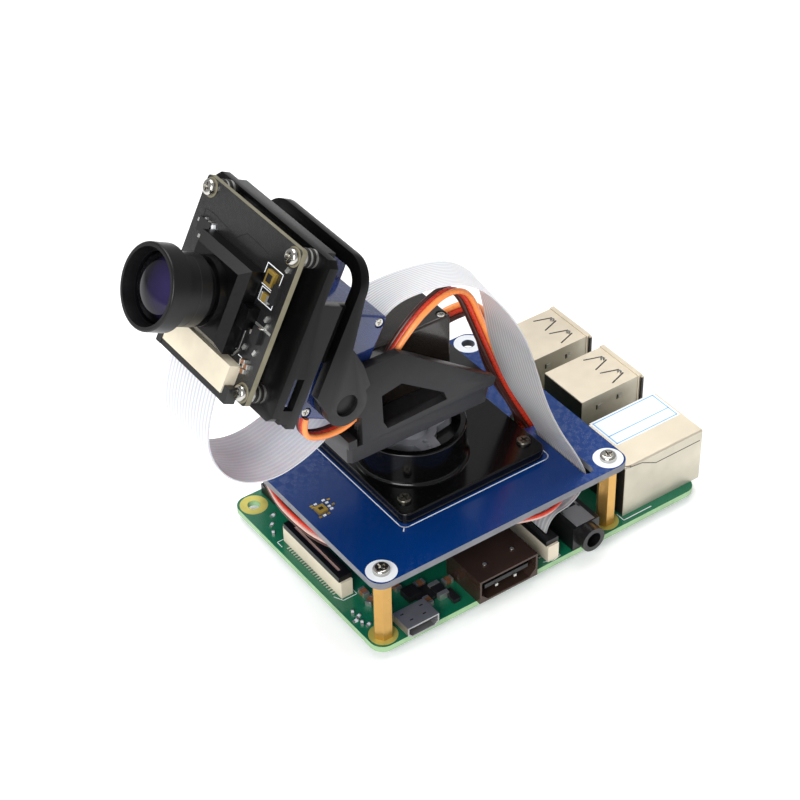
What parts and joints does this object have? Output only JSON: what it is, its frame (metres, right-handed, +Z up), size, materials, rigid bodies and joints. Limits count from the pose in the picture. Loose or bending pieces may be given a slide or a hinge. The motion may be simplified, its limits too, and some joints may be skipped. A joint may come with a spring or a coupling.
{
  "type": "pan tilt camera mount",
  "caption": "Camera on a servo-driven pan and tilt bracket, bolted through an expansion board onto a single-board computer, with its ribbon cable and servo leads",
  "frame": {"origin": "bottom centre of the whole mount without its free ribbon and leads, on the surface that it stands on", "axes": "+X along the board from the camera towards the USB and network sockets, +Y across it away from the HDMI edge, +Z up"},
  "size_m": [0.1196, 0.0584, 0.097],
  "materials": {
    "green_board": "green solder resist",
    "blue_board": "blue solder resist",
    "black_board": "black solder resist",
    "bracket_plastic": "fine moulded texture",
    "base_plastic": "polished black",
    "dark_servo_plastic": "smoky translucent",
    "blue_servo_plastic": "blue translucent",
    "horn_plastic": "plain moulded",
    "cream_plastic": "plain moulded",
    "black_plastic": "plain moulded",
    "chip_plastic": "moulded package",
    "port_steel": "nickel plated",
    "brass": "turned",
    "gold_pins": "plated",
    "steel": "nickel plated",
    "spline_metal": "turned",
    "ribbon_film": "polyester film",
    "lead_insulation": "soft insulation",
    "lens_black": "black anodised",
    "lens_glass": "coated"
  },
  "bodies": {
    "root": {"main_board": "green_board", "header_base": "black_plastic", "header_pins": "gold_pins", "header_socket": "black_plastic", "ethernet_port": "port_steel", "usb_shells": "port_steel", "usb_tongues": "black_plastic", "hdmi_shell": "port_steel", "hdmi_tongue": "black_plastic", "microusb_port": "port_steel", "audio_jack": "black_plastic", "ribbon_ports": "cream_plastic", "board_chips": "chip_plastic", "standoffs": "brass", "board_screws": "steel", "upper_board": "blue_board", "light_sensor": "cream_plastic", "servo_plugs": "black_plastic", "base_plate": "base_plastic", "base_screws": "steel", "base_nuts": "steel", "pan_horn": "horn_plastic", "pan_horn_screw": "steel", "horn_tie_screws": "steel", "pan_output_shaft": "spline_metal", "ribbon_cable": "ribbon_film", "pan_servo_lead": "lead_insulation", "tilt_servo_lead": "lead_insulation"},
    "pan_frame": {"bracket_near": "bracket_plastic", "bracket_far": "bracket_plastic", "pan_servo_gearcase": "dark_servo_plastic", "pan_servo_case": "dark_servo_plastic", "pan_servo_cap": "dark_servo_plastic", "pan_servo_screws": "steel", "tilt_horn": "horn_plastic", "tilt_horn_screw": "steel", "tilt_output_shaft": "spline_metal"},
    "tilt_head": {"head_frame": "bracket_plastic", "tilt_servo_gearcase": "blue_servo_plastic", "tilt_servo_case": "blue_servo_plastic", "tilt_servo_cap": "blue_servo_plastic", "tilt_servo_screws": "steel", "servo_mount_screws": "steel", "camera_board": "black_board", "camera_screws": "steel", "camera_spacers": "steel", "camera_connector": "cream_plastic", "camera_chips": "chip_plastic", "lens_holder": "lens_black"},
    "lens": {"lens_barrel": "lens_black", "lens_glass": "lens_glass"},
    "camera_latch_slide": {"camera_latch": "black_plastic"},
    "camera_port_slide": {"camera_port_latch": "black_plastic"},
    "display_port_slide": {"display_port_latch": "black_plastic"}
  },
  "joints": [
    {"name": "pan", "type": "hinge", "parent": "root", "child": "pan_frame", "pos_m": [0.001, 0.00125, 0.0326], "axis": [0, 0, 1], "range_deg": [-90, 90], "deforming": ["ribbon_cable", "pan_servo_lead"]},
    {"name": "tilt", "type": "hinge", "parent": "pan_frame", "child": "tilt_head", "pos_m": [-0.0252, 0.00125, 0.0582], "axis": [0, 1, 0], "range_deg": [-50, 12], "deforming": ["tilt_servo_lead"]},
    {"name": "focus", "type": "hinge", "parent": "tilt_head", "child": "lens", "pos_m": [-0.05622, 0.00125, 0.08983], "axis": [-0.891, 0, 0.454], "range_deg": [-180, 180]},
    {"name": "camera_latch_pull", "type": "slide", "parent": "tilt_head", "child": "camera_latch_slide", "axis": [-0.454, 0, -0.891], "range_m": [0, 0.001]},
    {"name": "camera_port_latch_pull", "type": "slide", "parent": "root", "child": "camera_port_slide", "axis": [0, 0, 1], "range_m": [0, 0.001]},
    {"name": "display_port_latch_pull", "type": "slide", "parent": "root", "child": "display_port_slide", "axis": [0, 0, 1], "range_m": [0, 0.001]}
  ]
}
